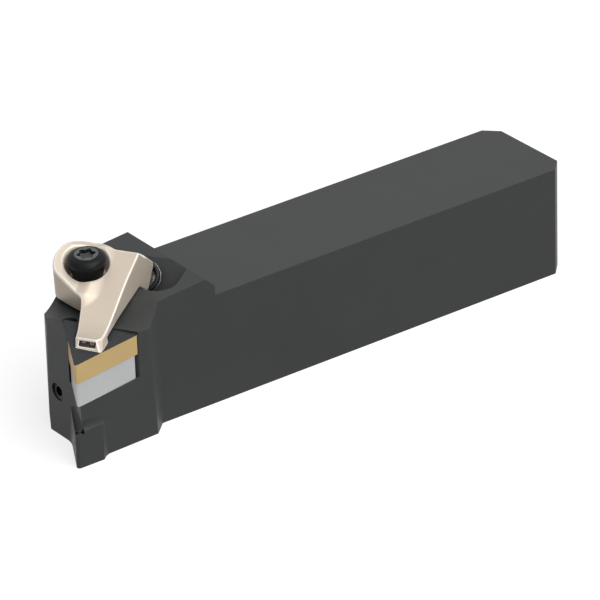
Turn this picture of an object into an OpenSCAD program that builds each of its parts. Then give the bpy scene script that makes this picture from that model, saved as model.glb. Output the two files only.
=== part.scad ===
// Turning tool holder with a clamped triangular insert and internal coolant.
// Millimetres. +X runs along the shank to its rear end, +Z is up.
// The origin is the centre of the shank's underside.

/* [Shank] */
// Width of the square shank
shank_w = 25; // [20:0.5:32]
// Height of the square shank
shank_h = 25; // [24:0.5:27]
// Length from the cutting corner to the rear end
tool_len = 133; // [110:1:170]
// Length from the cutting corner to the rear of the raised head
head_len = 40; // [38:0.5:46]
// Chamfer on the upright edges of the rear end
rear_chamfer = 3; // [1:0.5:5]

/* [Head] */
// Height of the head's top face above the base, below the cutting corner
top_h = 26.7; // [25.5:0.1:28]
// Tilt of the head's top face
top_tilt = 6.6; // [4:0.1:8]
// Height of the small wall between the shank and the rear slope
wall_rise = 2; // [1:0.1:3]
// Relief angle of the flank under the main cutting edge
flank_lean = 6.2; // [4:0.1:8]
// Relief angle of the front face
front_lean = 5.5; // [4:0.1:7]
// Depth of the hollow that lets the chips off behind the insert
chip_sag = 0.8; // [0.4:0.1:1.2]
// Distance of the near face of the coolant pedestal from the shank's side
pedestal_out = 4.8; // [4.3:0.1:5.4]
// Height of the coolant pedestal
pedestal_h = 7.6; // [6:0.1:9]

/* [Insert] */
// Diameter of the circle that touches the insert's three edges
insert_ic = 9.525; // [9:0.025:10]
// Thickness of the insert
insert_th = 4.76; // [3.97:0.01:5.2]
// Radius of the insert's corners
insert_nose = 0.4; // [0.2:0.1:1.2]
// Diameter of the insert's hole
insert_hole = 3.81; // [3:0.01:4.4]
// How far the cutting corner stands out from the shank's near side
edge_offset = 7; // [6.5:0.1:7.6]
// Height of the cutting corner above the base
edge_h = 25; // [24.5:0.1:25.4]
// Angle of the main cutting edge to the shank
edge_turn = 3; // [1:0.5:4]
// Tilt of the insert
insert_tilt = 7.9; // [6:0.1:9]
// Thickness of the carbide shim
shim_th = 6; // [4.5:0.1:6.5]
// How far the shim's outline lies inside the insert's
shim_inset = 0.3; // [0.1:0.05:0.5]

/* [Clamp] */
// Distance of the clamp screw from the cutting corner along the clamp
screw_u = 24.9; // [24:0.1:26]
// Sideways place of the clamp screw
screw_v = 6.5; // [6:0.1:7]
// Radius of the clamp's round boss
boss_r = 7; // [6.6:0.1:7.6]
// Highest point of the boss above the head
boss_h = 8.7; // [8:0.1:9.4]
// Gap between the clamp's underside and the head
clamp_gap = 0.3; // [0.2:0.05:0.5]
// Diameter of the counterbore for the screw's head
head_bore = 9.4; // [8.8:0.1:9.8]
// Thickness of the web that the screw's head presses on
web_th = 1.6; // [1:0.1:2]
// Diameter of the two nozzle holes in the clamp's nose
nozzle_d = 0.9; // [0.6:0.1:1.1]
// Radius of the round coolant spigot
spigot_r = 3.2; // [3:0.1:3.6]
// Downward angle of the spigot
spigot_tilt = 45; // [40:1:50]

/* [Fasteners] */
// Thread diameter of the clamp screw
screw_d = 6; // [5:0.5:6]
// Diameter of the clamp screw's head
screw_head_d = 8.1; // [7.6:0.1:8.5]
// Size of the six-lobe socket across its points
socket_d = 3.95; // [3.2:0.05:4.4]
// Thread diameter of the shim screw
shim_screw_d = 4; // [3:0.5:4]
// Thread diameter of the front channel plug
plug_d = 4; // [3:0.5:5]
// Wire diameter of the clamp spring
spring_wire = 0.9; // [0.7:0.1:1.1]
// Turns of the clamp spring
spring_turns = 4.5; // [3:0.5:6]

/* [Coolant] */
// Bore of the threaded coolant inlet
inlet_d = 8.8; // [8:0.1:10]
// Depth of the threaded coolant inlet
inlet_depth = 12; // [8:0.5:16]
// Diameter of the main coolant channel
channel_d = 5; // [3:0.5:6]

/* [Hidden] */
$fn = 64;

// Half the reach of the blocks that cut a face
big = 60;
// Largest gap between faces that seat on each other
seat_gap = 0.02;
// Radial gap of a thread's core in its tapped hole
thread_gap = 0.05;
// Radial gap of a part that turns or slides
run_gap = 0.1;

half_w = shank_w / 2;
base_x = (head_len + tool_len) / 2;
edge_y = -half_w - edge_offset;

// Directions that the head's top and the insert lean towards
top_dir = 216.5;
insert_dir = 235.4;
// Direction of the clamp, half way between the insert's two free edges
clamp_turn = edge_turn + 30;
// Height of the head's top face over the cutting corner
top_at_corner = top_h + tan(top_tilt) * sin(top_dir) * edge_y * -1;

insert_edge = insert_ic * sqrt(3);
insert_tall = insert_ic * 1.5;
insert_centre = [insert_edge / 2, insert_ic / 2];

// Heights along the clamp screw, above the head's top face
web_top = clamp_gap + 4.2;
web_low = web_top - web_th;
spring_bore = 10.2;
spring_seat = -5;
tap_low = -13.5;
screw_low = -12.5;
spring_r = (spring_bore - spring_wire) / 2 - 0.25;
ring_d = 2 * (spring_r - spring_wire / 2) - 0.3;
ring_th = 0.8;
neck_d = screw_d - 0.8;

// Height of the insert's face over the head's top face, at the cutting corner
face_up = edge_h - top_at_corner;
// Where the clamp starts, behind the cutting corner, and where its foot on the insert ends
nose_u = 5.8;
foot_u = 9.4;
// How far the foot reaches below the insert's face before it is cut to it
foot_deep = 1.14;
// Height of the finger over the insert's face, at its waist
finger_h = 1.7;
// Half width of the clamp at its rear, and width of its finger on the far side
block_half = 2.8;
finger_side = 6.6;
// Height of the clamp's block behind the boss
block_h = 7.8;

// The spigot's end face and the round pocket for it
spigot_at = [35.1, -0.8, -1.1];
collar_len = 0.5;
seal_r = 0.5;
washer_th = 0.35;
seal_len = 2 * seal_r + 2 * seat_gap;
floor_at = 3.25;
pocket_r = 4.4;
pocket_at = [33.2, -5.25];
pocket_w = 12.65;
slot_r = spigot_r + 1.1;
wall_v = -block_half;
// Bore that feeds the spigot, and radius of the thin tube at its end
spigot_bore = 2.4;
tube_r = spigot_r - 1.3;

// A frame whose upright axis leans by an angle towards a direction
module lean(dir, angle) {
    rotate([0, 0, dir]) rotate([0, angle, 0]) rotate([0, 0, -dir]) children();
}

// Everything on the far side of a face, to be cut away
module beyond(at, dir, tip = 0) {
    translate(at) rotate([0, 0, dir]) rotate([0, tip, 0])
        translate([0, -big, -big]) cube(2 * big);
}

// Frame of the cutting corner: x along the main edge, z out of the insert's face
module insert_frame() {
    translate([0, edge_y, edge_h]) lean(insert_dir, insert_tilt) rotate([0, 0, edge_turn]) children();
}

// Frame of the clamp: x along it to the rear, z out of the head's top face
module clamp_frame() {
    translate([0, edge_y, top_at_corner]) lean(top_dir, top_tilt) rotate([0, 0, clamp_turn]) children();
}

// Frame of the clamp screw
module screw_frame() {
    clamp_frame() translate([screw_u, screw_v, 0]) children();
}

// Frame of the spigot: z points down and to the rear, -x up
module spigot_frame() {
    clamp_frame() translate(spigot_at) rotate([0, 90 + spigot_tilt, 0]) children();
}

// Outline with rounded corners, each point given as [x, y, radius]
function unit(v) = v / norm(v);
function corner(p, q, s, steps = 6) =
    let (a = unit([p.x - q.x, p.y - q.y]), b = unit([s.x - q.x, s.y - q.y]))
    let (half = acos(a * b) / 2, r = q.z)
    let (c = [q.x, q.y] + unit(a + b) * r / sin(half))
    let (f = [q.x, q.y] + a * r / tan(half) - c, g = [q.x, q.y] + b * r / tan(half) - c)
    [for (i = [0:steps]) c + unit(f * (1 - i / steps) + g * i / steps) * r];
function rounded(pts) =
    [for (i = [0:len(pts) - 1])
        let (p = pts[(i + len(pts) - 1) % len(pts)], q = pts[i], s = pts[(i + 1) % len(pts)])
        for (c = q.z > 0 ? corner(p, q, s) : [[q.x, q.y]]) c];

// The triangle of the insert and shim, drawn in by an inset
module triangle(inset, nose) {
    r = nose;
    polygon(rounded([[inset * sqrt(3), inset, r],
                     [insert_edge - inset * sqrt(3), inset, r],
                     [insert_edge / 2, insert_tall - 2 * inset, r]]));
}

// Six-lobe socket
module lobes(d) {
    difference() {
        circle(d = d);
        for (i = [0:5]) rotate(i * 60 + 30) translate([d * 0.53, 0]) circle(d = d * 0.3, $fn = 24);
    }
}

// A straight drilling from one point to another
module drilling(from, to, d) {
    v = to - from;
    translate(from) rotate([0, acos(v.z / norm(v)), atan2(v.y, v.x)]) cylinder(d = d, h = norm(v));
}

// Corner points of the front of the head
nose_x = 6.6;
front_foot = [nose_x, 0, 0];
flank_foot = [14, -half_w - 3.3, 0];
flank_dir = -88;
step_foot = [head_len - 14.3, -half_w, 0];
step_dir = -47.5;
seat_foot = [2.1, -half_w - 5.2, 14];
// Place of the flank above the pedestal, and the radius of the cove there
wall_line = -half_w - 4.55;
cove_r = 1.2;
bevel_a = [3.9, -half_w + 8.3, 0];
bevel_b = [6.1, -half_w + 12.4, 0];

// Block of the head with its relieved flank, front and bevels
module head_block() {
    difference() {
        union() {
            translate([0, -half_w, 0]) cube([head_len, shank_w, 2 * shank_h]);
            difference() {
                translate([0, -half_w - 12, 0]) cube([head_len, 12.01, 2 * shank_h]);
                beyond(step_foot, step_dir, 0);
                beyond(flank_foot, flank_dir, flank_lean);
            }
        }
        intersection() {
            beyond(front_foot, 180, front_lean);
            union() {
                beyond(seat_foot, edge_turn + 153, 0);
                beyond(seat_foot, edge_turn + 153, front_lean);
            }
        }
        beyond(bevel_a, 151, 0);
        beyond(bevel_b, 124.6, 0);
    }
}

// Space outside a wall and above a ledge, with a cove between them; the wall is at x = 0
module over_ledge(r) {
    rotate([90, 0, 0]) linear_extrude(height = 2 * big, center = true) {
        translate([-r, r]) circle(r = r);
        translate([-big, 0]) square([big - r, big]);
        translate([-big, r]) square([big, big]);
    }
}

// Foot with the coolant outlets, flared into the flank and the front face
module pedestal() {
    near = -half_w - pedestal_out;
    root = -half_w - 3.3;
    outline = rounded([[0.9, near, 0.6], [7.7, near, 0], [9.5, root, 4], [14, root, 0],
                       [14, -half_w + 6.9, 0], [nose_x - 0.02, -half_w + 6.9, 0],
                       [nose_x - 0.02, -half_w + 5.3, 6]]);
    difference() {
        linear_extrude(height = pedestal_h + 4) polygon(outline);
        translate([3, wall_line, pedestal_h + 0.1]) rotate([0, -3, 0]) rotate([0, 0, 91])
            over_ledge(cove_r);
        translate([3, wall_line, pedestal_h]) rotate([0, 0, edge_turn - 26]) rotate([11, 0, 0])
            over_ledge(cove_r);
    }
}

// Shallow groove that the cove's cutter leaves in the flank
module flank_groove() {
    r = cove_r + 0.5;
    translate([3, wall_line + 0.25 - r, pedestal_h + r]) rotate([0, 87, -1.5])
        translate([0, 0, -12]) cylinder(r = r, h = 22);
}

// Shank with its chamfered end
module shank() {
    c = rear_chamfer;
    linear_extrude(height = shank_h)
        polygon([[head_len - 5, -half_w], [tool_len - c, -half_w], [tool_len, -half_w + c],
                 [tool_len, half_w - c], [tool_len - c, half_w], [head_len - 5, half_w]]);
}

// Seat of the insert and shim, open towards the main edge
module insert_pocket() {
    deep = insert_th + shim_th;
    far = 3;
    insert_frame() {
        translate([0, 0, -deep]) linear_extrude(height = deep + 12)
            polygon([[-far * 1.7, -far], [insert_edge + far / sqrt(3), -far],
                     [insert_edge + seat_gap, 0], [insert_edge / 2, insert_tall + seat_gap], [-seat_gap, 0]]);
        translate([insert_edge / 2 + 1.05, insert_tall - 1.1, -deep]) cylinder(d = 3.2, h = deep + 12);
    }
}

// Shallow hollow behind the insert
module chip_hollow() {
    chord = 11.5;
    r = (pow(chord / 2, 2) + pow(chip_sag, 2)) / (2 * chip_sag);
    clamp_frame() translate([insert_tall + chord / 2, 0, r - chip_sag]) rotate([90, 0, 0])
        cylinder(r = r, h = 2 * big, center = true, $fn = 180);
}

// Pocket milled behind the clamp, open to the rear, with a sloping floor that the spigot faces
module spigot_pocket() {
    deep = 9;
    difference() {
        union() {
            clamp_frame() translate([pocket_at.x, pocket_at.y, -deep]) {
                straight = pocket_w - 2 * pocket_r;
                for (v = [0, straight]) translate([0, v, 0]) cylinder(r = pocket_r, h = 2 * deep);
                translate([-pocket_r, 0, 0]) cube([2 * pocket_r, straight, 2 * deep]);
                translate([0, -pocket_r, 0]) cube([2 * deep, pocket_w, 2 * deep]);
            }
            spigot_frame() translate([0, 0, -deep]) {
                cylinder(r = slot_r, h = 2 * deep);
                translate([-2 * deep, -slot_r, 0]) cube([2 * deep, 2 * slot_r, 2 * deep]);
            }
        }
        spigot_frame() translate([-big, -big, floor_at]) cube(2 * big);
    }
}

// Drillings for the coolant and the tapped holes
module channels() {
    cross_x = head_len - 0.3;
    cross_z = shank_h / 2;
    translate([tool_len - inlet_depth, 0, cross_z]) rotate([0, 90, 0])
        cylinder(d = inlet_d, h = inlet_depth + 1);
    translate([cross_x - 2, 0, cross_z]) rotate([0, 90, 0]) cylinder(d = channel_d, h = tool_len - cross_x);
    drilling([cross_x, half_w + 1, cross_z + cross_rise * (half_w + 1)], [cross_x, 0, cross_z], 3.5);
    drilling(front_plug_at, [cross_x, 0, cross_z], 2.5);
    drilling([2.9, -half_w - 3, 4], [12, -half_w + 8.8, 11.3], 2);
}

// Rise of the cross drilling towards the far side, for each millimetre
cross_rise = 0.83;
front_plug_at = [nose_x - 1.1, -half_w + 8, 11];

module front_plug_frame() {
    translate([nose_x - 11 * tan(front_lean), -half_w + 8, 11]) rotate([0, 90, 0]) children();
}

module outlets() {
    for (p = [[2.05, -3.55], [2.85, -4.35]])
        drilling([p.x + 0.5, -half_w + p.y + 0.9, pedestal_h - 3.5],
                 [p.x - 0.2, -half_w + p.y - 0.4, pedestal_h + 1.5], 0.9);
}

module holder_body() {
    color([0.27, 0.28, 0.28])
    translate([-base_x, 0, 0])
    difference() {
        union() {
            shank();
            difference() {
                union() {
                    head_block();
                    pedestal();
                }
                beyond([head_len, 0, shank_h + wall_rise], 0, -45);
                clamp_frame() translate([-big, -big, 0]) cube(2 * big);
            }
        }
        insert_pocket();
        chip_hollow();
        spigot_pocket();
        spigot_frame() cylinder(d = 3, h = 20);
        channels();
        outlets();
        flank_groove();
        front_plug_frame() translate([0, 0, -3]) cylinder(d = plug_d, h = 2 * plug_d + 3);
        screw_frame() translate([0, 0, tap_low]) cylinder(d = screw_d, h = big);
        screw_frame() translate([0, 0, spring_seat]) cylinder(d = spring_bore, h = big);
        insert_frame() translate([insert_centre.x, insert_centre.y, -insert_th - shim_th - 6.5])
            cylinder(d = shim_screw_d, h = 12);
    }
}

module shim() {
    color([0.72, 0.73, 0.73])
    translate([-base_x, 0, 0])
    insert_frame() translate([0, 0, -insert_th - shim_th]) difference() {
        linear_extrude(height = shim_th) triangle(shim_inset, insert_nose);
        translate([insert_centre.x, insert_centre.y, -1]) cylinder(d = shim_screw_d + 0.4, h = shim_th + 2);
        translate([insert_centre.x, insert_centre.y, shim_th - 1.9])
            cylinder(d1 = shim_screw_d + 0.4, d2 = shim_screw_d + 4.4, h = 2);
    }
}

module shim_screw() {
    head_d = shim_screw_d + 2;
    stem = 5.5;
    color([0.2, 0.2, 0.21])
    translate([-base_x, 0, 0])
    insert_frame() translate([insert_centre.x, insert_centre.y, -insert_th - shim_th]) difference() {
        union() {
            translate([0, 0, -stem]) cylinder(d = shim_screw_d - 2 * thread_gap, h = stem + shim_th - 1);
            translate([0, 0, shim_th - 1.3]) cylinder(d1 = shim_screw_d, d2 = head_d, h = 1);
        }
        translate([0, 0, shim_th - 1.6]) linear_extrude(height = 2) lobes(0.6 * shim_screw_d);
    }
}

module insert() {
    color([0.78, 0.66, 0.45])
    translate([-base_x, 0, 0])
    insert_frame() translate([0, 0, -insert_th]) difference() {
        linear_extrude(height = insert_th) triangle(0, insert_nose);
        translate([insert_centre.x, insert_centre.y, -1]) cylinder(d = insert_hole, h = insert_th + 2);
    }
}

// Plan of the clamp's finger and its block
module clamp_plan() {
    rear = spigot_at.x + spigot_r;
    polygon(rounded([[nose_u, 2.1, 0.3], [nose_u + 0.6, -3, 0.3], [nose_u + 2.2, wall_v, 0],
                     [rear + block_half, wall_v, 0], [rear + block_half, block_half, 0],
                     [spigot_at.x - block_half, finger_side, 0], [screw_u - boss_r + 2.1, finger_side, 0],
                     [screw_u - boss_r - 0.7, finger_side - 1.6, 3]]));
}

// Point on the spigot's end face at a height above the head's top face
function spigot_face(w) = [spigot_at.x + (w - spigot_at.z) * tan(spigot_tilt), w];

// Side view of the clamp's finger and its block
module clamp_side() {
    waist = face_up + finger_h;
    crest = spigot_at.x - spigot_r - 2.1;
    under = min(clamp_gap, waist - 1);
    polygon([[nose_u, face_up - foot_deep], [foot_u, face_up - foot_deep], [foot_u + 1, under],
             [insert_tall - 1.5, under], [insert_tall - 0.8, clamp_gap],
             spigot_face(clamp_gap), spigot_face(clamp_gap + 0.6), [crest + 0.5, block_h], [crest, block_h],
             [screw_u + 1.6, block_h - 1.2], [screw_u - 4.2, block_h - 2.9],
             [screw_u - boss_r - 0.7, max(3.4, waist + 1.5)],
             [insert_tall, max(clamp_gap + 1.95, waist + 0.9)], [foot_u + 2, waist + 0.05],
             [foot_u - 0.8, waist], [nose_u + 1.4, waist + 0.35], [nose_u, face_up]]);
}

// Half-space below one of the two slopes that meet along the boss's ridge
module boss_slope(turn) {
    translate([3.8, 5.9, boss_h]) rotate(turn) translate([-big, -big, -2 * big]) cube(2 * big);
}

module clamp() {
    sink = 3.4;
    tail_len = 5.5;
    color([0.83, 0.78, 0.72])
    translate([-base_x, 0, 0])
    difference() {
        union() {
            clamp_frame() intersection() {
                translate([0, 0, -big / 2]) linear_extrude(height = big) clamp_plan();
                rotate([90, 0, 0]) linear_extrude(height = big, center = true) clamp_side();
            }
            screw_frame() intersection() {
                translate([0, 0, clamp_gap]) cylinder(r = boss_r, h = boss_h);
                boss_slope([15, 0, 0]);
                boss_slope([7.5, -27, 0]);
            }
            spigot_frame() {
                intersection() {
                    translate([0, 0, -tail_len]) cylinder(r = spigot_r + 0.4, h = tail_len);
                    translate([-big, wall_v - spigot_at.y, -big]) cube(2 * big);
                }
                cylinder(r = spigot_r, h = collar_len);
                cylinder(r = tube_r, h = collar_len + seal_len + 2 * washer_th);
            }
        }
        // Face that presses on the insert
        insert_frame() translate([0, 0, -insert_th]) linear_extrude(height = insert_th + seat_gap)
            triangle(-foot_deep, 0);
        // Counterbore, web hole and spring pocket
        screw_frame() {
            translate([0, 0, web_top]) cylinder(d1 = screw_d + 0.4, d2 = head_bore, h = sink);
            translate([0, 0, web_top + sink]) cylinder(d = head_bore, h = big);
            translate([0, 0, -1]) cylinder(d = screw_d + 2 * run_gap, h = web_top + 2);
            translate([0, 0, -1]) cylinder(d = spring_bore, h = web_low + 1);
        }
        // Coolant from the spigot to the nozzles
        spigot_frame() translate([0, 0, -tail_len - 0.5]) cylinder(d = spigot_bore, h = 2 * tail_len);
        clamp_frame() for (v = [0.7, -1.1]) translate([nose_u - 0.8, v, face_up + 0.71]) rotate([0, 86, 0])
            cylinder(d = nozzle_d, h = spigot_at.x - nose_u - 1.3);
    }
}

module clamp_screw() {
    shoulder = web_top + 4.3;
    rim = screw_head_d / 2;
    color([0.1, 0.11, 0.12])
    translate([-base_x, 0, 0])
    screw_frame() difference() {
        union() {
            rotate_extrude() polygon([[0, web_top], [screw_d / 2 + run_gap, web_top], [rim, shoulder - 0.7],
                [rim, shoulder], [rim - 0.4, shoulder + 0.35], [rim - 1.55, shoulder + 0.8],
                [0, shoulder + 0.8]]);
            difference() {
                translate([0, 0, screw_low]) cylinder(d = screw_d - 2 * thread_gap, h = web_top - screw_low);
                translate([0, 0, web_low - ring_th - 0.1]) difference() {
                    cylinder(d = 2 * screw_d, h = ring_th + 0.1);
                    translate([0, 0, -1]) cylinder(d = neck_d, h = 4);
                }
            }
        }
        translate([0, 0, shoulder - socket_d / 2]) linear_extrude(height = socket_d) lobes(socket_d);
    }
}

// Snap ring that keeps the screw in the clamp
module stop_ring() {
    color([0.4, 0.4, 0.42])
    translate([-base_x, 0, 0])
    screw_frame() translate([0, 0, web_low - ring_th - 0.05]) difference() {
        cylinder(d = ring_d, h = ring_th);
        translate([0, 0, -1]) cylinder(d = neck_d + 0.05, h = 4);
        translate([0, -0.9, -1]) cube([ring_d, 1.8, 4]);
    }
}

// Coil swept along a helix
module clamp_spring() {
    steps = 20;
    sides = 8;
    low = spring_seat + spring_wire / 2 + 0.05;
    high = web_low - spring_wire / 2 - 0.05;
    rings = ceil(steps * spring_turns);
    points = [for (i = [0:rings])
        let (a = 360 * spring_turns * i / rings, z = low + (high - low) * i / rings)
        for (j = [0:sides - 1])
            let (r = spring_r + spring_wire / 2 * cos(360 * j / sides))
            [r * cos(a), r * sin(a), z + spring_wire / 2 * sin(360 * j / sides)]];
    skin = [for (i = [0:rings - 1]) for (j = [0:sides - 1])
        let (k = (j + 1) % sides)
        each [[i * sides + j, (i + 1) * sides + k, i * sides + k],
              [i * sides + j, (i + 1) * sides + j, (i + 1) * sides + k]]];
    ends = [[for (j = [0:sides - 1]) j], [for (j = [0:sides - 1]) rings * sides + sides - 1 - j]];
    color([0.6, 0.61, 0.63])
    translate([-base_x, 0, 0])
    screw_frame() polyhedron(points = points, faces = concat(skin, ends));
}

module seal_ring() {
    color([0.05, 0.05, 0.05])
    translate([-base_x, 0, 0])
    spigot_frame() translate([0, 0, collar_len + seat_gap + seal_r]) rotate_extrude()
        translate([spigot_r + 0.45 - seal_r, 0]) circle(r = seal_r, $fn = 24);
}

module seal_washer() {
    color([0.8, 0.8, 0.8])
    translate([-base_x, 0, 0])
    spigot_frame() translate([0, 0, collar_len + seal_len]) difference() {
        cylinder(r = spigot_r + 0.45, h = washer_th);
        translate([0, 0, -1]) cylinder(r = tube_r + thread_gap, h = 3);
    }
}

module front_plug() {
    color([0.15, 0.15, 0.16])
    translate([-base_x, 0, 0])
    front_plug_frame() translate([0, 0, 0.4]) difference() {
        cylinder(d = plug_d - 2 * thread_gap, h = plug_d + 1);
        translate([0, 0, -1]) cylinder(d = plug_d / 2 / cos(30), h = 3, $fn = 6);
    }
}

// Ball that closes the cross drilling on the far side
module channel_ball() {
    color([0.7, 0.71, 0.72])
    translate([-base_x, 0, 0])
    translate([head_len - 0.3, half_w - 2.2, shank_h / 2 + cross_rise * (half_w - 2.2)]) sphere(d = 3.46);
}

holder_body();
shim();
shim_screw();
insert();
clamp();
clamp_screw();
stop_ring();
clamp_spring();
seal_ring();
seal_washer();
front_plug();
channel_ball();
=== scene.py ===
"""Turning tool holder: finishes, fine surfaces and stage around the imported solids."""

from math import radians

import bpy
import numpy as np
from bpy.props import FloatProperty, FloatVectorProperty, PointerProperty
from mathutils import Matrix, Vector


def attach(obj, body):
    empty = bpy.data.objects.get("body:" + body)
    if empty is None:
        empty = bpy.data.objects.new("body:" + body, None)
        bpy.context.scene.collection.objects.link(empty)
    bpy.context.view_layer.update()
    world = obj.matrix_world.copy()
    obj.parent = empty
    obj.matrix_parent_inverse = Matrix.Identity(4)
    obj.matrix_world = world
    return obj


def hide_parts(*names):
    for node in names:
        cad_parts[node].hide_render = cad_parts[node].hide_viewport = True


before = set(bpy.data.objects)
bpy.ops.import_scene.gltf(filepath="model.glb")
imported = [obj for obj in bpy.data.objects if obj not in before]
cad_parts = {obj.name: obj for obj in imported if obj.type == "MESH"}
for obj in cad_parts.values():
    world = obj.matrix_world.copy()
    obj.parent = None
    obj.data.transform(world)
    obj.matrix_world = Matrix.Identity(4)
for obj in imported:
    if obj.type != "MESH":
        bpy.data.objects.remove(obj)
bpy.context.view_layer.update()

bl_info = {
    "name": "Turning tool holder",
    "version": (1, 0, 0),
    "blender": (4, 5, 0),
    "location": "View3D > Sidebar > Tool holder",
    "description": "Finishes and fine surfaces of a turning tool holder",
    "category": "Object",
}

MM = 0.001
COS_45 = 2 ** -0.5

# Places repeated from the part's source, in millimetres. The clamp's and the insert's frames stand at the
# cutting corner and lean; the screw's axis and the spigot's end face are given in the clamp's frame. The
# coolant inlet's axis lies at half the shank's height
TIP = np.array([-86.5, -19.5, 25.0])
CLAMP_START = 25.358
SCREW_AXIS = (24.9, 6.5)
SPIGOT = (35.1, -0.8, -1.1)
INLET_UP = 12.5


def leaning(direction, angle, turn):
    """Axes, as columns, of a frame turned about z, with its z axis then leant towards a direction."""
    tilt = (Matrix.Rotation(radians(direction), 3, "Z") @ Matrix.Rotation(radians(angle), 3, "Y")
            @ Matrix.Rotation(radians(-direction), 3, "Z") @ Matrix.Rotation(radians(turn), 3, "Z"))
    return np.array(tilt)


CLAMP_AXES = leaning(216.5, 6.6, 33.0)
CLAMP_AT = np.array([TIP[0], TIP[1], CLAMP_START])
INSERT_AXES = leaning(235.4, 7.9, 3.0)
SCREW_AT = CLAMP_AT + CLAMP_AXES @ np.array([*SCREW_AXIS, 0.0])


def linear(hex_colour):
    """Linear colour of an sRGB hex value."""
    part = np.array([int(hex_colour[i:i + 2], 16) / 255 for i in (1, 3, 5)])
    low = part / 12.92
    return tuple(np.where(part <= 0.04045, low, ((part + 0.055) / 1.055) ** 2.4))


def colour(name, hex_colour, description):
    """A colour property in linear values, given as an sRGB hex value."""
    return FloatVectorProperty(name=name, description=description, subtype="COLOR", size=3,
                               min=0, max=1, default=linear(hex_colour))


class HolderFinish(bpy.types.PropertyGroup):
    steel: colour("Blackened steel", "#3d3f3e", "Oxide on the body")
    steel_edge: colour("Blackened steel edge", "#4b4d4c", "Oxide on the body where edges rub")
    nickel: colour("Clamp nickel", "#d3c5b4", "Plating of the clamp")
    # Painted highlight: a pale colour along the clamp's edges
    nickel_edge_highlight: colour("Clamp nickel edge highlight", "#efe8df", "Painted highlight along the clamp's edges")
    # Painted shade: a dark brown for the clamp's mouth and its spigot, where shade falls
    bare: colour("Clamp mouth and spigot shade", "#5a5046", "Dark colour painted as shade in the clamp's mouth and on its spigot")
    gold: colour("Coated flank", "#d0b27c", "Coating on the flanks of the insert")
    gold_edge: colour("Coated edge", "#e7d4aa", "Coating on the honed edges of the insert")
    rake: colour("Rake face", "#3a3b3e", "Coating on the top of the insert")
    carbide: colour("Shim carbide", "#bcbdbd", "Ground carbide of the shim")
    carbide_edge: colour("Shim edge", "#edeff0", "Edges of the shim")
    black: colour("Screw black", "#0e0f10", "Oxide on the screws")
    plug_edge: colour("Plug edge", "#141516", "Edges of the channel plug")
    worn: colour("Worn face", "#5f6160", "Face of the screw, rubbed by the key")
    rubber: colour("Seal rubber", "#111112", "Rubber of the seal")
    bright: colour("Bright steel", "#d9dbdc", "Bare steel of the washer, ball and spring")
    bright_edge: colour("Bright steel edge", "#f3f3f3", "Edges of the washer, ball and spring")
    ring_edge: colour("Stop ring edge", "#e7e7e7", "Edges of the stop ring")
    cut_edge: colour("Thread crest", "#565957", "Crests of the inlet's thread")


class HolderShape(bpy.types.PropertyGroup):
    clamp_step: FloatProperty(name="Clamp detail", description="Spacing of the grid for the clamp's surface",
                              default=0.17 * MM, min=0.1 * MM, precision=5, unit="LENGTH")
    screw_pitch: FloatProperty(name="Screw pitch", description="Rise of the clamp screw's thread in a turn",
                               default=1.0 * MM, min=0.5 * MM, precision=5, unit="LENGTH")
    inlet_pitch: FloatProperty(name="Inlet pitch", description="Rise of the inlet's thread in a turn",
                               default=0.907 * MM, min=0.5 * MM, precision=5, unit="LENGTH")


def in_mm(length):
    """A property's length in millimetres, rounded because a property holds few digits."""
    return round(length / MM, 4)


class HolderStage(bpy.types.PropertyGroup):
    distance: FloatProperty(name="Camera distance", description="From the part to the camera",
                            default=1.0803699, unit="LENGTH", min=0.3)
    key: FloatProperty(name="Key lamp", description="Power of the lamp above", default=17.0, unit="POWER")
    fill: FloatProperty(name="Fill lamp", description="Power of the lamp on the near side",
                        default=1.1, unit="POWER")
    ambient: FloatProperty(name="Room light", description="Strength of the even light from all sides",
                           default=0.16, min=0)
    floor: colour("Floor", "#9e9e9e", "Paint of the floor, which takes the shadow")
    glow: FloatProperty(name="Floor glow", description="What brings the floor up to white for the eye",
                        default=0.78, min=0)


def add(tree, kind, links=None, **settings):
    """Adds a node, sets its settings, and sets or links its inputs by name or number."""
    made = tree.nodes.new(kind)
    for key, value in settings.items():
        setattr(made, key, value)
    for key, value in (links or {}).items():
        if isinstance(value, bpy.types.NodeSocket):
            tree.links.new(value, made.inputs[key])
        else:
            made.inputs[key].default_value = value
    return made


def new_material(name):
    """An empty material with its shader, and the object coordinates that patterns read."""
    made = bpy.data.materials.new(name)
    made.use_nodes = True
    tree = made.node_tree
    tree.nodes.clear()
    shader = add(tree, "ShaderNodeBsdfPrincipled")
    add(tree, "ShaderNodeOutputMaterial", {"Surface": shader.outputs[0]})
    place = add(tree, "ShaderNodeTexCoord").outputs["Object"]
    return made, tree, shader, place


def rgba(value):
    """A colour with full cover."""
    return (*value, 1.0)


# How far a finish wanders in colour and in gloss, and the size of the slow cloud in its colour
COLOUR_SPREAD = 0.06
GLOSS_SPREAD = 0.05
CLOUD_MM = 9.0


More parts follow.
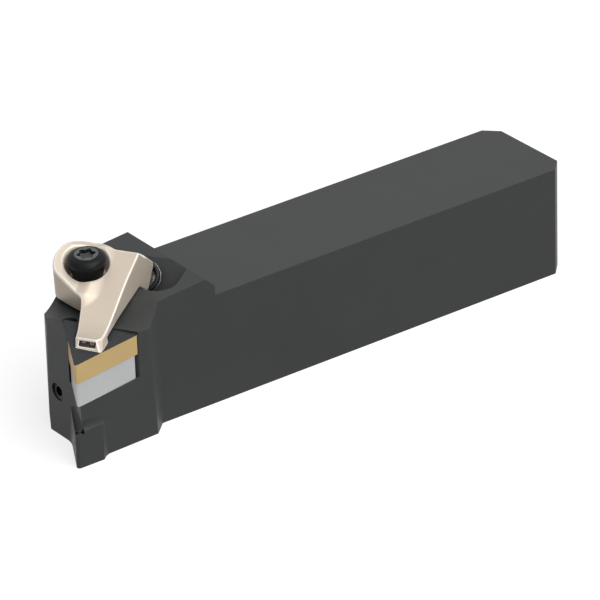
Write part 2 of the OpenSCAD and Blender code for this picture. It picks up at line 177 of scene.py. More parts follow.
def grained_finish(name, base, edge, metallic, rough, grain_mm, bump_mm, bevel_mm=0.0, shine=0.3):
    """A surface with a fine grain in colour, gloss and height, and a slow cloud in colour. Its edges take a
    second colour, and are found by a bevel of the given radius or, without one, by the mesh's own edge
    values. Oxide, blasting and grinding leave a finer grain: it is drawn as coarse as it needs to show."""
    made, tree, shader, place = new_material(name)
    grain = add(tree, "ShaderNodeTexNoise", {"Vector": place, "Scale": 1 / (grain_mm * MM), "Detail": 3.0})
    cloud = add(tree, "ShaderNodeTexNoise", {"Vector": place, "Scale": 1 / (CLOUD_MM * MM), "Detail": 2.0})
    both = add(tree, "ShaderNodeMath", {0: grain.outputs[0], 1: cloud.outputs[0]}, operation="ADD")
    level = add(tree, "ShaderNodeMapRange",
                {0: both.outputs[0], 1: 0.6, 2: 1.4, 3: 1 - COLOUR_SPREAD, 4: 1 + COLOUR_SPREAD})
    tint = add(tree, "ShaderNodeVectorMath", {0: tuple(base), "Scale": level.outputs[0]}, operation="SCALE")
    bump = add(tree, "ShaderNodeBump", {"Height": grain.outputs[0], "Distance": bump_mm * MM})
    if bevel_mm:
        round_edge = add(tree, "ShaderNodeBevel", {"Radius": bevel_mm * MM}, samples=6)
        tree.links.new(round_edge.outputs[0], bump.inputs["Normal"])
        face = add(tree, "ShaderNodeNewGeometry").outputs["True Normal"]
        same = add(tree, "ShaderNodeVectorMath", {0: round_edge.outputs[0], 1: face}, operation="DOT_PRODUCT")
        at_edge = add(tree, "ShaderNodeMapRange",
                      {0: same.outputs["Value"], 1: 0.995, 2: 0.9, 3: 0.0, 4: 1.0}).outputs[0]
    else:
        at_edge = add(tree, "ShaderNodeAttribute", attribute_name="edge").outputs["Fac"]
    mixed = add(tree, "ShaderNodeMix", {0: at_edge, 6: tint.outputs[0], 7: rgba(edge)}, data_type="RGBA")
    gloss = add(tree, "ShaderNodeMapRange",
                {0: grain.outputs[0], 1: 0.3, 2: 0.7, 3: rough - GLOSS_SPREAD, 4: rough + GLOSS_SPREAD})
    tree.links.new(mixed.outputs[2], shader.inputs["Base Color"])
    tree.links.new(gloss.outputs[0], shader.inputs["Roughness"])
    tree.links.new(bump.outputs[0], shader.inputs["Normal"])
    shader.inputs["Metallic"].default_value = metallic
    shader.inputs["Specular IOR Level"].default_value = shine
    return made


def dress(node, finish):
    """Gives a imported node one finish."""
    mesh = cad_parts[node].data
    mesh.materials.clear()
    mesh.materials.append(finish)


class HOLDER_OT_body(bpy.types.Operator):
    """Finishes the blackened steel body"""
    bl_idname = "holder.body"
    bl_label = "Body"

    def execute(self, context):
        look = context.scene.holder_finish
        # Black oxide over milled steel: an even dark grey, satin, a little lighter where edges rub
        oxide = grained_finish("black oxide steel", look.steel, look.steel_edge, metallic=0.25, rough=0.5,
                               grain_mm=0.25, bump_mm=0.004, bevel_mm=0.15, shine=0.2)
        dress("holder_body", oxide)
        return {"FINISHED"}


# How far below the rake face its colour reaches, in millimetres
RAKE_DEPTH = 0.03


def darken_rake(finish, rake):
    """Gives another colour to what lies above a height just under the insert's rake face."""
    tree = finish.node_tree
    shader = next(n for n in tree.nodes if n.type == "BSDF_PRINCIPLED")
    flank = shader.inputs["Base Color"].links[0].from_socket
    place = add(tree, "ShaderNodeTexCoord").outputs["Object"]
    below = add(tree, "ShaderNodeVectorMath", {0: place, 1: tuple(TIP * MM)}, operation="SUBTRACT")
    height = add(tree, "ShaderNodeVectorMath", {0: below.outputs[0], 1: tuple(INSERT_AXES[:, 2])},
                 operation="DOT_PRODUCT")
    top = add(tree, "ShaderNodeMath", {0: height.outputs["Value"], 1: -RAKE_DEPTH * MM},
              operation="GREATER_THAN")
    mixed = add(tree, "ShaderNodeMix", {0: top.outputs[0], 6: flank, 7: rgba(rake)}, data_type="RGBA")
    tree.links.new(mixed.outputs[2], shader.inputs["Base Color"])


class HOLDER_OT_seat(bpy.types.Operator):
    """Finishes the insert, its shim and the shim screw"""
    bl_idname = "holder.seat"
    bl_label = "Insert and shim"

    def execute(self, context):
        look = context.scene.holder_finish
        # Ground tungsten carbide: bright grey, with a fine grain
        ground = grained_finish("ground carbide", look.carbide, look.carbide_edge, metallic=0.6, rough=0.38,
                                grain_mm=0.12, bump_mm=0.002, bevel_mm=0.08)
        dress("shim", ground)
        # Coated carbide: satin gold flanks, and a dark rake face, because that is blasted after coating
        coat = grained_finish("coated carbide", look.gold, look.gold_edge, metallic=0.3, rough=0.45,
                              grain_mm=0.12, bump_mm=0.002, bevel_mm=0.06, shine=0.15)
        darken_rake(coat, look.rake)
        dress("insert", coat)
        # Black oxide on a small screw: satin black all over
        oxide = grained_finish("black oxide screw", look.black, look.black, metallic=0.3, rough=0.4,
                               grain_mm=0.2, bump_mm=0.002, bevel_mm=0.08)
        dress("shim_screw", oxide)
        return {"FINISHED"}


def soft_min(a, b, blend):
    """Smaller of two distances, rounded where they meet: min(a, b) - h * h * blend / 4, where h is
    1 - |a - b| / blend, and no less than 0."""
    h = np.maximum(blend - np.abs(a - b), 0) / blend
    return np.minimum(a, b) - h * h * blend / 4


def soft_max(a, b, blend):
    """Larger of two distances, rounded in the same way."""
    return -soft_min(-a, -b, blend)


def cut(whole, tool, blend):
    """Distance to a form with a tool's form cut out of it, and the new edges rounded."""
    return soft_max(whole, -tool, blend)


def between(x, low, high):
    """Distance to the stretch from low to high, negative inside."""
    return np.abs(x - (low + high) / 2) - (high - low) / 2


def outline_distance(x, y, corners):
    """Signed distance from points to a closed outline, negative inside: the least distance to an edge,
    with the sign of the crossing count."""
    corners = np.array(corners, float)
    least, crossed = np.inf, False
    for a, b in zip(corners, np.roll(corners, -1, axis=0)):
        along = b - a
        t = np.clip(((x - a[0]) * along[0] + (y - a[1]) * along[1]) / (along @ along), 0, 1)
        least = np.minimum(least, np.hypot(x - a[0] - t * along[0], y - a[1] - t * along[1]))
        passes = (a[1] > y) != (b[1] > y)
        crossed = crossed ^ (passes & (x < a[0] + (y - a[1]) * along[0] / (along[1] or 1e-9)))
    return np.where(crossed, -least, least)


def skin(field, low, high, step):
    """Mesh of the surface where a distance field is zero. Each grid cell that the surface crosses gets one
    point, the mean of the crossings of its twelve edges, which then moves along the field's slope on to the
    surface. Each grid edge that is crossed gets the quad of its four cells. Returns points, quads."""
    axes = [np.arange(a, b, step) for a, b in zip(low, high)]
    value = field(*np.ix_(*axes))
    inside = value < 0
    size = np.array(value.shape) - 1
    corner = np.array([(i, j, k) for i in (0, 1) for j in (0, 1) for k in (0, 1)])
    part = [inside[i:i + size[0], j:j + size[1], k:k + size[2]] for i, j, k in corner]
    mixed = np.logical_or.reduce(part) & ~np.logical_and.reduce(part)
    cell = np.argwhere(mixed)
    number = np.full(size, -1)
    number[mixed] = np.arange(len(cell))
    at = np.stack([value[tuple((cell + c).T)] for c in corner], 1)
    total, count = np.zeros((len(cell), 3)), np.zeros((len(cell), 1))
    for a in range(8):
        for b in range(a + 1, 8):
            if np.abs(corner[a] - corner[b]).sum() == 1:
                crosses = ((at[:, a] < 0) != (at[:, b] < 0))[:, None]
                t = (at[:, a] / np.where(at[:, a] == at[:, b], 1, at[:, a] - at[:, b]))[:, None]
                total += np.where(crosses, corner[a] + t * (corner[b] - corner[a]), 0)
                count += crosses
    points = np.array(low) + (cell + total / count) * step
    for _ in range(3):
        slope = gradient(field, points)
        points -= field(*points.T)[:, None] * slope / np.maximum((slope ** 2).sum(1), 0.25)[:, None]
    quads = []
    for axis in range(3):
        one, two = (axis + 1) % 3, (axis + 2) % 3
        shift = np.eye(3, dtype=int)
        ends = np.moveaxis(inside, (axis, one, two), (0, 1, 2))
        start, stop = ends[:-1, 1:-1, 1:-1], ends[1:, 1:-1, 1:-1]
        edge = np.argwhere(start != stop)
        where = np.zeros_like(edge)
        where[:, axis], where[:, one], where[:, two] = edge[:, 0], edge[:, 1] + 1, edge[:, 2] + 1
        ring = np.stack([number[tuple((where - d).T)] for d in
                         (0 * shift[0], shift[one], shift[one] + shift[two], shift[two])], 1)
        out = start[tuple(edge.T)]
        quads.append(np.where(out[:, None], ring, ring[:, ::-1]))
    return points, np.concatenate(quads)


def gradient(field, points, reach=0.02):
    """Slope of a distance field at points, from the difference over a short reach on each axis."""
    slope = []
    for step in np.eye(3) * reach:
        slope.append((field(*(points + step).T) - field(*(points - step).T)) / (2 * reach))
    return np.stack(slope, 1)


def new_piece(name, points, faces, body, finish, **attributes):
    """A smooth mesh object from points in millimetres and faces, which rides on a body; attributes are kept
    per point."""
    mesh = bpy.data.meshes.new(name)
    mesh.from_pydata((np.asarray(points) * MM).tolist(), [], faces)
    mesh.shade_smooth()
    for key, values in attributes.items():
        kept = mesh.attributes.new(key, "FLOAT", "POINT")
        kept.data.foreach_set("value", np.asarray(values, np.float32))
    mesh.materials.append(finish)
    made = bpy.data.objects.new(name, mesh)
    bpy.context.scene.collection.objects.link(made)
    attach(made, body)
    return made


def turned(name, radius, height, axes, origin, body, finish, closed=False, worn=0.0):
    """A surface around an axis. Ring i has at angle a the point radius[i, a] * (cos a, sin a) at
    height[i, a]; rings are joined by quads, and the ends by a fan to a centre point or, if closed, to each
    other."""
    radius, height, worn = np.broadcast_arrays(radius, height, worn)
    rings, sides = radius.shape
    angle = np.linspace(0, 2 * np.pi, sides, endpoint=False)
    points = np.stack([radius * np.cos(angle), radius * np.sin(angle), height], 2).reshape(-1, 3)
    grid = np.arange(rings * sides).reshape(rings, sides)
    one, two = (grid, np.roll(grid, -1, 0)) if closed else (grid[:-1], grid[1:])
    quads = np.stack([one, np.roll(one, -1, 1), np.roll(two, -1, 1), two], 2).reshape(-1, 4)
    faces, edge = quads.tolist(), worn.reshape(-1)
    if not closed:
        ends = [(0, 0, height[0].mean()), (0, 0, height[-1].mean())]
        points = np.concatenate([points, ends])
        edge = np.append(edge, [worn[0, 0], worn[-1, 0]])
        for centre, ring, way in ((rings * sides, grid[0], -1), (rings * sides + 1, grid[-1], 1)):
            ring = ring[::way]
            fan = np.stack([np.full(sides, centre), ring, np.roll(ring, -1)], 1)
            faces += fan.tolist()
    return new_piece(name, origin + points @ axes.T, faces, body, finish, edge=edge)


def thread(along, sides, pitch, crest, root):
    """Radius of a screw thread on a grid of heights and angles: a V that runs from crest to root and back
    once per pitch, with its crest and root flattened."""
    turn = along[:, None] / pitch - np.arange(sides)[None, :] / sides
    share = np.clip(np.abs(turn % 1 - 0.5) * 2.6 - 0.15, 0, 1)
    return root + (crest - root) * share


# The clamp, in millimetres in its own frame: u runs from the nose to the rear, v from the near flank to the
# far side, and w up. First the outline of finger and block, then the finger's top as heights along u
NOSE = 5.8
FLANK = -2.8
CLAMP_PLAN = ((NOSE, 2.1), (NOSE, FLANK), (41.1, FLANK), (41.1, 2.8), (32.3, 6.6), (20.0, 6.6), (17.2, 5.0))
FINGER_END = (30.3, 7.8)
FINGER_HEIGHTS = ((NOSE, 2.0), (7.2, 1.62), (8.6, 1.36), (11.4, 1.45), (14.3, 2.3), (17.2, 3.45),
                  (20.7, 4.85), (24.5, 6.1), (27.5, 6.95), FINGER_END)
FINGER_TOP = np.polyfit(*np.transpose(FINGER_HEIGHTS), 5)
REAR_SLOPE = 1.015

# The near side's flare: its width for each millimetre below a height, and where along u it starts and is full
FLARE = 0.35
FLARE_UP = 1.4
FLARE_START, FLARE_FULL = 17.0, 9.0

# The boss around the screw: its radius, its flat on the front left by direction and distance from the axis, a
# point on the ridge between its two top faces, and the slopes of those faces
BOSS_RADIUS = 7.0
FLAT_WAY = (-0.889, 0.459)
FLAT_REACH = 6.15
BOSS_RIDGE = (28.7, 12.4, 9.1)
BOSS_SLOPES = (0.27, 0.268)

# Fillets between finger and boss, in the plan and on top
PLAN_FILLET = 1.6
TOP_FILLET = 3.4

# Where the tops start to bend down, and how much with the square of what is past it: the finger on its far
# side, the boss at its rim and on its near side
FINGER_BEND = (4.0, 0.35)
RIM_BEND = (6.9, 0.45)
NEAR_BEND = (6.0, 0.12)

# The nose: the height that it leans back from, and how its face and its near corner lean. Then the underside,
# as heights along u: the foot, and the step up behind it
NOSE_UP = -0.36
NOSE_LEAN = (0.826, 0.564)
CORNER_LEAN = (-0.361, -0.691, 0.626)
CORNER_REACH = 0.202
UNDERSIDE = ((9.4, 10.4), (-1.5, 0.3))

# What the screw needs: its hole, the spring's pocket below, and the cone and its bore above
SCREW_HOLE = 3.1
SPRING_RADIUS = 5.1
SPRING_TOP = 2.9
CONE_RADIUS, CONE_UP, CONE_SLOPE = 4.1, 5.5, 0.4
CONE_RIM = 5.4
CONE_FLOOR = 4.5

# The spigot: radius, and low and high along its axis, of its block, collar and tube, then the drilling
TAIL = (3.6, -5.5, 0.0)
COLLAR = (3.2, -0.2, 0.5)
TUBE = (1.9, -0.1, 2.3)
DRILLING = (1.2, -6.0)

# The mouth in the nose: low and high along v and w, and how far back it goes; then its two nozzles
MOUTH_ACROSS = (-2.05, 1.55)
MOUTH_UP = (0.12, 1.08)
MOUTH_END = 7.3
NOZZLES = ((0.7, 0.58), (-1.1, 0.58))
NOZZLE_RADIUS = 0.4
NOZZLE_END = 7.9

# Low and high of the room that the clamp takes
CLAMP_LOW = (4.6, -4.4, -5.6)
CLAMP_HIGH = (38.6, 14.2, 9.9)


def clamp_plan(u, v, w, reach):
    """Distance to the clamp's walls seen from above: the outline, whose near side spreads low down towards
    the nose, joined by a fillet to the boss's circle with its flat."""
    share = np.clip((FLARE_START - u) / (FLARE_START - FLARE_FULL), 0, 1) * np.clip(-v / 2, 0, 1)
    spread = FLARE * np.clip(FLARE_UP - w, 0, 2) * share
    flat = FLAT_WAY[1] * (v - SCREW_AXIS[1]) + FLAT_WAY[0] * (u - SCREW_AXIS[0]) - FLAT_REACH
    boss = soft_max(reach - BOSS_RADIUS, flat, 0.6)
    return soft_min(outline_distance(u, v + spread, CLAMP_PLAN), boss, PLAN_FILLET)


def clamp_top(u, v, reach):
    """Height of the clamp's top: the finger's curve with the rear slope, and the lower of the boss's two
    slopes, joined by a fillet. Each bends down towards its edges by the square of what it passes them."""
    finger = np.polyval(FINGER_TOP, np.clip(u, 5, FINGER_END[0]))
    finger = np.minimum(finger, FINGER_END[1] - REAR_SLOPE * (u - FINGER_END[0]))
    finger = finger - FINGER_BEND[1] * np.maximum(v - FINGER_BEND[0], 0) ** 2
    past_u, past_v = u - BOSS_RIDGE[0], v - BOSS_RIDGE[1]
    boss = np.minimum(BOSS_RIDGE[2] + BOSS_SLOPES[0] * past_u + BOSS_SLOPES[0] * past_v,
                      BOSS_RIDGE[2] + BOSS_SLOPES[1] * past_v)
    boss = boss - RIM_BEND[1] * np.maximum(reach - RIM_BEND[0], 0) ** 2
    boss = boss - NEAR_BEND[1] * np.maximum(NEAR_BEND[0] - v, 0) ** 2
    return soft_max(finger, boss, TOP_FILLET)


def along_spigot(u, v, w):
    """Height above the spigot's end face along its axis, which runs half down and half to the rear, and the
    distance from that axis."""
    du, dv, dw = u - SPIGOT[0], v - SPIGOT[1], w - SPIGOT[2]
    return (du - dw) * COS_45, np.hypot((du + dw) * COS_45, dv)


def clamp_field(u, v, w):
    """Distance to the clamp: the walls of its plan under its top, with the nose and the underside cut off,
    the spigot's round forms joined, and the bores cut out."""
    reach = np.hypot(u - SCREW_AXIS[0], v - SCREW_AXIS[1])
    # The top slopes, so 0.9 of a height above it is about a distance. Its edge is rounder on the far side
    above = (w - clamp_top(u, v, reach)) * 0.9
    whole = soft_max(clamp_plan(u, v, w, reach), above, 0.3 + 0.25 * np.clip((v - 5) / 3, 0, 1))
    # The nose leans back, its near corner is cut off, and behind the foot the underside steps up
    front = soft_max(NOSE - u, (w - NOSE_UP) * NOSE_LEAN[1] - (u - NOSE) * NOSE_LEAN[0], 0.2)
    corner = CORNER_LEAN[2] * w + CORNER_LEAN[0] * u + CORNER_LEAN[1] * v + CORNER_REACH
    whole = soft_max(whole, soft_max(front, corner, 0.12), 0.15)
    whole = soft_max(whole, np.interp(u, *UNDERSIDE) - w, 0.3)
    # The block ends at the spigot's face, and the near flank cuts what is joined there
    height, side = along_spigot(u, v, w)
    tail = np.maximum(soft_max(side - TAIL[0], between(height, *TAIL[1:]), 0.4), FLANK - v)
    collar = np.maximum(soft_max(side - COLLAR[0], between(height, *COLLAR[1:]), 0.1), FLANK - v)
    tube = soft_max(side - TUBE[0], between(height, *TUBE[1:]), 0.2)
    whole = np.minimum(soft_max(whole, height, 0.2), tail)
    whole = np.minimum(whole, np.minimum(collar, tube))
    # The screw's seat is a cone under a short bore, and its hole widens below for the spring
    cone = (reach - CONE_RADIUS - (w - CONE_UP) * CONE_SLOPE) * 0.93
    whole = cut(whole, soft_max(soft_max(cone, reach - CONE_RIM, 0.3), CONE_FLOOR - w, 0.2), 0.35)
    spring = soft_max(reach - SPRING_RADIUS, w - SPRING_TOP, 0.2)
    whole = cut(whole, np.minimum(reach - SCREW_HOLE, spring), 0.2)
    whole = cut(whole, soft_max(side - DRILLING[0], DRILLING[1] - height, 0.1), 0.2)
    # The two nozzles end in a shallow mouth
    mouth = np.maximum(np.maximum(between(v, *MOUTH_ACROSS), between(w, *MOUTH_UP)), u - MOUTH_END)
    whole = cut(whole, mouth, 0.12)
    for across, up in NOZZLES:
        bore = np.hypot(v - across, w - up) - NOZZLE_RADIUS
        whole = cut(whole, np.maximum(bore, u - NOZZLE_END), 0.12)
    return whole


def painted_shade_faces(u, v, w):
    """Whether a point of the clamp's surface takes the painted shade: inside the mouth, but not in the
    nozzles, or on the spigot behind the block's end face."""
    inside = (u > NOSE + 0.15 + (w - NOSE_UP) * NOSE_LEAN[1] / NOSE_LEAN[0]) & (u < NOZZLE_END + 1)
    inside &= (between(v, *MOUTH_ACROSS) < 0.02) & (between(w, *MOUTH_UP) < 0.02)
    inside &= np.minimum(*(np.hypot(v - across, w - up) for across, up in NOZZLES)) > NOZZLE_RADIUS + 0.05
    return inside | (along_spigot(u, v, w)[0] > 0.04)


def sharpness(field, points, reach=0.16):
    """How sharply a surface bends outwards at its points, 0 to 1: the sum of the field's second
    differences."""
    bend = sum(field(*(points + side * step).T) for step in np.eye(3) * reach for side in (1, -1))
    bend = (bend - 6 * field(*points.T)) / reach ** 2
    return np.clip((bend - 0.5) / 1.6, 0, 1)


# The foot, in millimetres: how far it stays above the insert's top, and where along u it ends
FOOT_LIFT = 0.03
FOOT_END = 13.0


class HOLDER_OT_clamp(bpy.types.Operator):
    """Makes the clamp as one blended surface"""
    bl_idname = "holder.clamp"
    bl_label = "Clamp"

    def execute(self, context):
        look = context.scene.holder_finish
        # Satin nickel over a blasted forging: warm pale metal, with a painted highlight along its edges
        nickel = grained_finish("satin nickel", look.nickel, look.nickel_edge_highlight, metallic=0.25, rough=0.42,
                                grain_mm=0.15, bump_mm=0.003)
        step = in_mm(context.scene.holder_shape.clamp_step)
        points, quads = skin(clamp_field, CLAMP_LOW, CLAMP_HIGH, step)
        # Where the surface bends sharply outwards, its edge value brings in the painted highlight
        edge = sharpness(clamp_field, points)
        # The foot is laid flat, just clear of the insert's top
        world = CLAMP_AT + points @ CLAMP_AXES.T
        foot = (world - TIP) @ INSERT_AXES[:, 2]
        under = (foot < FOOT_LIFT) & (points[:, 0] < FOOT_END)
        world += np.where(under, FOOT_LIFT - foot, 0)[:, None] * INSERT_AXES[:, 2]
        made = new_piece("clamp_surface", world, quads.tolist(), "clamp", nickel, edge=edge)
        # Painted shade: a dark, dull colour with no bright edges in the mouth and on the spigot, where shade
        # falls
        made.data.materials.append(grained_finish("painted shade for mouth and spigot", look.bare, look.bare, metallic=0.4,
                                                  rough=0.6, grain_mm=0.15, bump_mm=0.002))
        bare = painted_shade_faces(*points[quads].mean(1).T)
        made.data.polygons.foreach_set("material_index", bare.astype(np.int32))
        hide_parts("clamp")
        return {"FINISHED"}


# Sides of what is turned round
SIDES = 96

# The clamp screw, in millimetres along its own axis: its end, its thread, and the face of its disc
SCREW_END = -12.5
SCREW_CREST = 2.95
SCREW_ROOT = 2.5
DISC_FACE = 9.6


class HOLDER_OT_screw(bpy.types.Operator):
    """Makes the clamp screw and finishes its stop ring"""
    bl_idname = "holder.screw"
    bl_label = "Clamp screw"

    def execute(self, context):
        look = context.scene.holder_finish
        # Black oxide on a screw: satin black, with its face rubbed to grey by the key
        oxide = grained_finish("black oxide bolt", look.black, look.worn, metallic=0.1, rough=0.4,
                               grain_mm=0.2, bump_mm=0.002, shine=0.15)
        low = np.arange(SCREW_END, 1.5, 0.125)
        pitch = in_mm(context.scene.holder_shape.screw_pitch)
        shaft = np.minimum(thread(low, SIDES, pitch, SCREW_CREST, SCREW_ROOT),
                           2.2 + (low - SCREW_END)[:, None])
        # Radius and height of the plain collar, the cone, the dome above it and the disc with its rim
        rise = np.linspace(0, np.pi / 2, 12)
        plain = [(2.6, 1.6), (2.6, 2.9), (2.95, 2.92), (2.95, 4.45), (3.1, 4.5), (4.0, 7.8)]
        plain += list(zip(2.6 + 1.6 * np.cos(rise), 8.0 + 1.4 * np.sin(rise)))
        plain += [(2.52, 9.43), (2.5, 9.55), (2.43, DISC_FACE), (2.2, DISC_FACE)]
        plain = np.array(plain)
        # The socket's six lobes are a wave around its mean radius, and its floor closes in two steps
        lobes = 1.7 + 0.26 * np.cos(6 * np.linspace(0, 2 * np.pi, SIDES, endpoint=False))
        socket = [lobes + 0.08, lobes, lobes, lobes * 0.96, lobes * 0.5]
        depth = [DISC_FACE, 9.53, 8.7, 8.65, 8.6]
        radius = np.concatenate([shaft, np.repeat(plain[:, :1], SIDES, 1), socket])
        level = np.concatenate([low, plain[:, 1], depth])[:, None]
        # Rubbed are the disc's face and, less, the socket's floor
        worn = np.zeros(len(radius))
        worn[-7:-4], worn[-2:] = 1.0, 0.7
        made = turned("clamp_bolt", radius, level, CLAMP_AXES, SCREW_AT, "clamp_screw", oxide,
                      worn=worn[:, None])
        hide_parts("clamp_screw")
        # Spring steel: bare and bright, with lighter edges
        ring = grained_finish("spring steel ring", look.bright, look.ring_edge, metallic=0.9, rough=0.3,
                              grain_mm=0.2, bump_mm=0.002, bevel_mm=0.05)
        dress("stop_ring", ring)
        return {"FINISHED"}


# The coolant inlet's pipe thread, in millimetres: low and high along the shank, and radii
INLET_LOW, INLET_HIGH = 34.6, 46.4
INLET_CREST = 4.12
INLET_ROOT = 4.4
INLET_BACK = 4.45


class HOLDER_OT_fittings(bpy.types.Operator):
    """Finishes the spring, the seal, its washer, the channel plug and the ball"""
    bl_idname = "holder.fittings"
    bl_label = "Fittings"

    def execute(self, context):
        look = context.scene.holder_finish
        # Bright drawn and ground steel: small clear glints beside the black body
        bright = grained_finish("bright steel", look.bright, look.bright_edge, metallic=0.95, rough=0.25,
                                grain_mm=0.2, bump_mm=0.002, bevel_mm=0.05)
        for node in ("clamp_spring", "seal_washer", "channel_ball"):
            dress(node, bright)
        # Nitrile rubber, moulded: near black and soft, with no bright edge
        rubber = grained_finish("nitrile rubber", look.rubber, look.rubber, metallic=0.0, rough=0.5,
                                grain_mm=0.1, bump_mm=0.003, bevel_mm=0.02)
        dress("seal_ring", rubber)
        # Pipe thread in the coolant inlet, cut through the oxide: a little brighter than the body
        bare = grained_finish("cut thread", look.steel, look.cut_edge, metallic=0.5, rough=0.35, grain_mm=0.2,
                              bump_mm=0.002)
        along = np.arange(INLET_LOW, INLET_HIGH, 0.08)
        pitch = in_mm(context.scene.holder_shape.inlet_pitch)
        inner = thread(along, SIDES, pitch, INLET_CREST, INLET_ROOT)[::-1]
        radius = np.concatenate([np.full((2, SIDES), INLET_BACK), inner])
        level = np.concatenate([[INLET_LOW, INLET_HIGH], along[::-1]])[:, None]
        axes = np.array([(0, 0, 1), (1, 0, 0), (0, 1, 0)], float)
        made = turned("inlet_thread", radius, level, axes, np.array([0, 0, INLET_UP]), "holder", bare,
                      closed=True)
        # Black oxide on the plug: darker than the body around it
        oxide = grained_finish("black oxide plug", look.black, look.plug_edge, metallic=0.3, rough=0.4,
                               grain_mm=0.2, bump_mm=0.002, bevel_mm=0.1)
        dress("front_plug", oxide)
        return {"FINISHED"}


# The camera, fitted to points of the model: where it looks from in azimuth and elevation, its roll about its
# view, the point in millimetres that it is placed by and that point's offset across and down in its view, and
# its focal length, picture and sensor
VIEW_FROM = (-126.2521, 27.6063)
VIEW_ROLL = -1.6546
VIEW_OFFSET = (-62.226, 37.9771)
CAMERA_ORIGIN = (-103.5, -12.5, 0.0)
FOCAL_PIXELS = 5370.0
PICTURE_PIXELS = 600
SENSOR_MM = 36.0


def camera_matrix(distance):
    """World matrix of a camera that looks back along an azimuth and elevation, rolled about its view."""
    a, e, roll = (radians(v) for v in (*VIEW_FROM, VIEW_ROLL))
    back = np.array([np.cos(e) * np.cos(a), np.cos(e) * np.sin(a), np.sin(e)])
    right = np.cross(-back, (0, 0, 1))
    right /= np.linalg.norm(right)
    down = np.cross(-back, right)
    rows = np.array([np.cos(roll) * right - np.sin(roll) * down,
                     np.sin(roll) * right + np.cos(roll) * down, -back])
    place = -rows.T @ np.array([*VIEW_OFFSET, distance / MM]) + np.array(CAMERA_ORIGIN)
    matrix = np.eye(4)
    matrix[:3, 0], matrix[:3, 1], matrix[:3, 2], matrix[:3, 3] = rows[0], -rows[1], -rows[2], place * MM
    return Matrix(matrix.tolist())


def lamp(name, power, size, at, aim):
    """A square soft lamp, aimed at a point."""
    data = bpy.data.lights.new(name, "AREA")
    data.energy, data.size = power, size
    made = bpy.data.objects.new(name, data)
    made.location = at
    made.rotation_euler = (Vector(aim) - Vector(at)).to_track_quat("-Z", "Y").to_euler()
    bpy.context.scene.collection.objects.link(made)


def seen_directly(tree):
    """One for a ray of the camera, a reflection or a transmission, zero for one that only lights things."""
    path = add(tree, "ShaderNodeLightPath")
    both = add(tree, "ShaderNodeMath", {0: path.outputs["Is Camera Ray"], 1: path.outputs["Is Glossy Ray"]},
               operation="ADD")
    every = add(tree, "ShaderNodeMath", {0: both.outputs[0], 1: path.outputs["Is Transmission Ray"]},
                operation="ADD", use_clamp=True)
    return every.outputs[0]


def add_camera(scene, distance):
    """The camera, which sees the part as the fitted values say."""
    data = bpy.data.cameras.new("camera")
    data.sensor_width = SENSOR_MM
    data.lens = SENSOR_MM * FOCAL_PIXELS / PICTURE_PIXELS
    data.clip_start, data.clip_end = 0.01, 20.0
    camera = bpy.data.objects.new("camera", data)
    scene.collection.objects.link(camera)
    camera.matrix_world = camera_matrix(distance)
    scene.camera = camera


FLOOR_HALF = 3.0
WHITE = (1, 1, 1, 1)


def add_floor(scene, paint_colour, glow_strength):
    """A square floor under the part."""
    mesh = bpy.data.meshes.new("floor")
    corners = [(x * FLOOR_HALF, y * FLOOR_HALF, 0) for x, y in ((-1, -1), (1, -1), (1, 1), (-1, 1))]
    mesh.from_pydata(corners, [], [(0, 1, 2, 3)])
    floor = bpy.data.objects.new("floor", mesh)
    scene.collection.objects.link(floor)
    # Matt studio paint: plain white to the eye, with the part's soft shadow on it
    made = bpy.data.materials.new("white studio floor")
    made.use_nodes = True
    tree = made.node_tree
    tree.nodes.clear()
    paint = add(tree, "ShaderNodeBsdfDiffuse", {"Color": rgba(paint_colour)})
    glow = add(tree, "ShaderNodeEmission", {"Color": WHITE, "Strength": glow_strength})
    both = add(tree, "ShaderNodeAddShader", {0: paint.outputs[0], 1: glow.outputs[0]})
    mixed = add(tree, "ShaderNodeMixShader",
                {0: seen_directly(tree), 1: paint.outputs[0], 2: both.outputs[0]})
    add(tree, "ShaderNodeOutputMaterial", {"Surface": mixed.outputs[0]})
    mesh.materials.append(made)


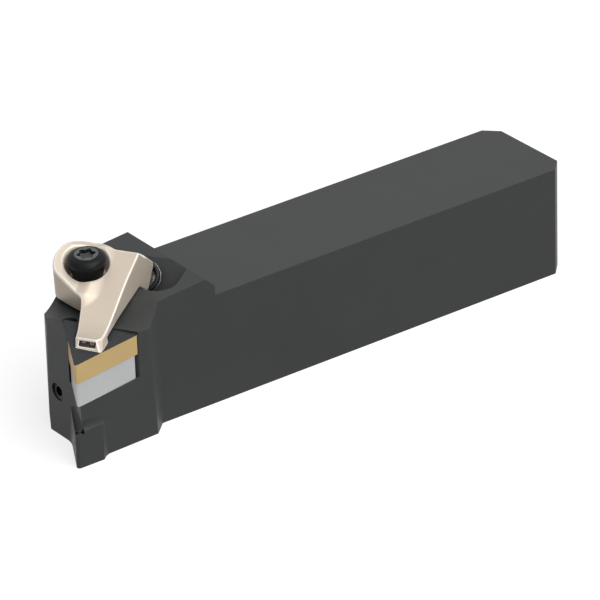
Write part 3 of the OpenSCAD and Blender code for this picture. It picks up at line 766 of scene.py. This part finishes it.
def add_room(scene, strength):
    """A world that is white to the eye, and lights the part evenly with a lesser strength."""
    world = bpy.data.worlds.new("studio")
    scene.world = world
    world.use_nodes = True
    tree = world.node_tree
    tree.nodes.clear()
    room = add(tree, "ShaderNodeBackground", {"Color": WHITE, "Strength": strength})
    plain = add(tree, "ShaderNodeBackground", {"Color": WHITE, "Strength": 1.0})
    mixed = add(tree, "ShaderNodeMixShader",
                {0: seen_directly(tree), 1: room.outputs[0], 2: plain.outputs[0]})
    add(tree, "ShaderNodeOutputWorld", {"Surface": mixed.outputs[0]})


class HOLDER_OT_stage(bpy.types.Operator):
    """Makes the camera, the floor and the soft studio light"""
    bl_idname = "holder.stage"
    bl_label = "Stage"

    def execute(self, context):
        scene, look = context.scene, context.scene.holder_stage
        scene.view_settings.view_transform = "Standard"
        add_camera(scene, look.distance)
        lamp("key lamp", look.key, size=1.2, at=(0.15, -0.6, 1.35), aim=(0, 0, 0))
        lamp("fill lamp", look.fill, size=0.4, at=(-0.12, -0.5, 0.3), aim=(-0.07, 0, 0))
        add_floor(scene, look.floor, look.glow)
        add_room(scene, look.ambient)
        return {"FINISHED"}


class HOLDER_PT_panel(bpy.types.Panel):
    bl_idname = "HOLDER_PT_panel"
    bl_label = "Turning tool holder"
    bl_space_type = "VIEW_3D"
    bl_region_type = "UI"
    bl_category = "Tool holder"

    def draw(self, context):
        for group in ("holder_shape", "holder_finish", "holder_stage"):
            settings = getattr(context.scene, group)
            for key in settings.bl_rna.properties.keys():
                if key not in ("rna_type", "name"):
                    self.layout.prop(settings, key)
        for step in STEPS:
            self.layout.operator(step.bl_idname)


STEPS = (HOLDER_OT_stage, HOLDER_OT_body, HOLDER_OT_seat, HOLDER_OT_clamp, HOLDER_OT_screw,
         HOLDER_OT_fittings)
CLASSES = (HolderFinish, HolderShape, HolderStage, *STEPS, HOLDER_PT_panel)


def register():
    for each in CLASSES:
        bpy.utils.register_class(each)
    bpy.types.Scene.holder_finish = PointerProperty(type=HolderFinish)
    bpy.types.Scene.holder_shape = PointerProperty(type=HolderShape)
    bpy.types.Scene.holder_stage = PointerProperty(type=HolderStage)


def unregister():
    del bpy.types.Scene.holder_finish, bpy.types.Scene.holder_shape, bpy.types.Scene.holder_stage
    for each in reversed(CLASSES):
        bpy.utils.unregister_class(each)


def main():
    """Makes everything in order."""
    register()
    for step in STEPS:
        group, name = step.bl_idname.split(".")
        getattr(getattr(bpy.ops, group), name)()


if __name__ == "__main__":
    main()
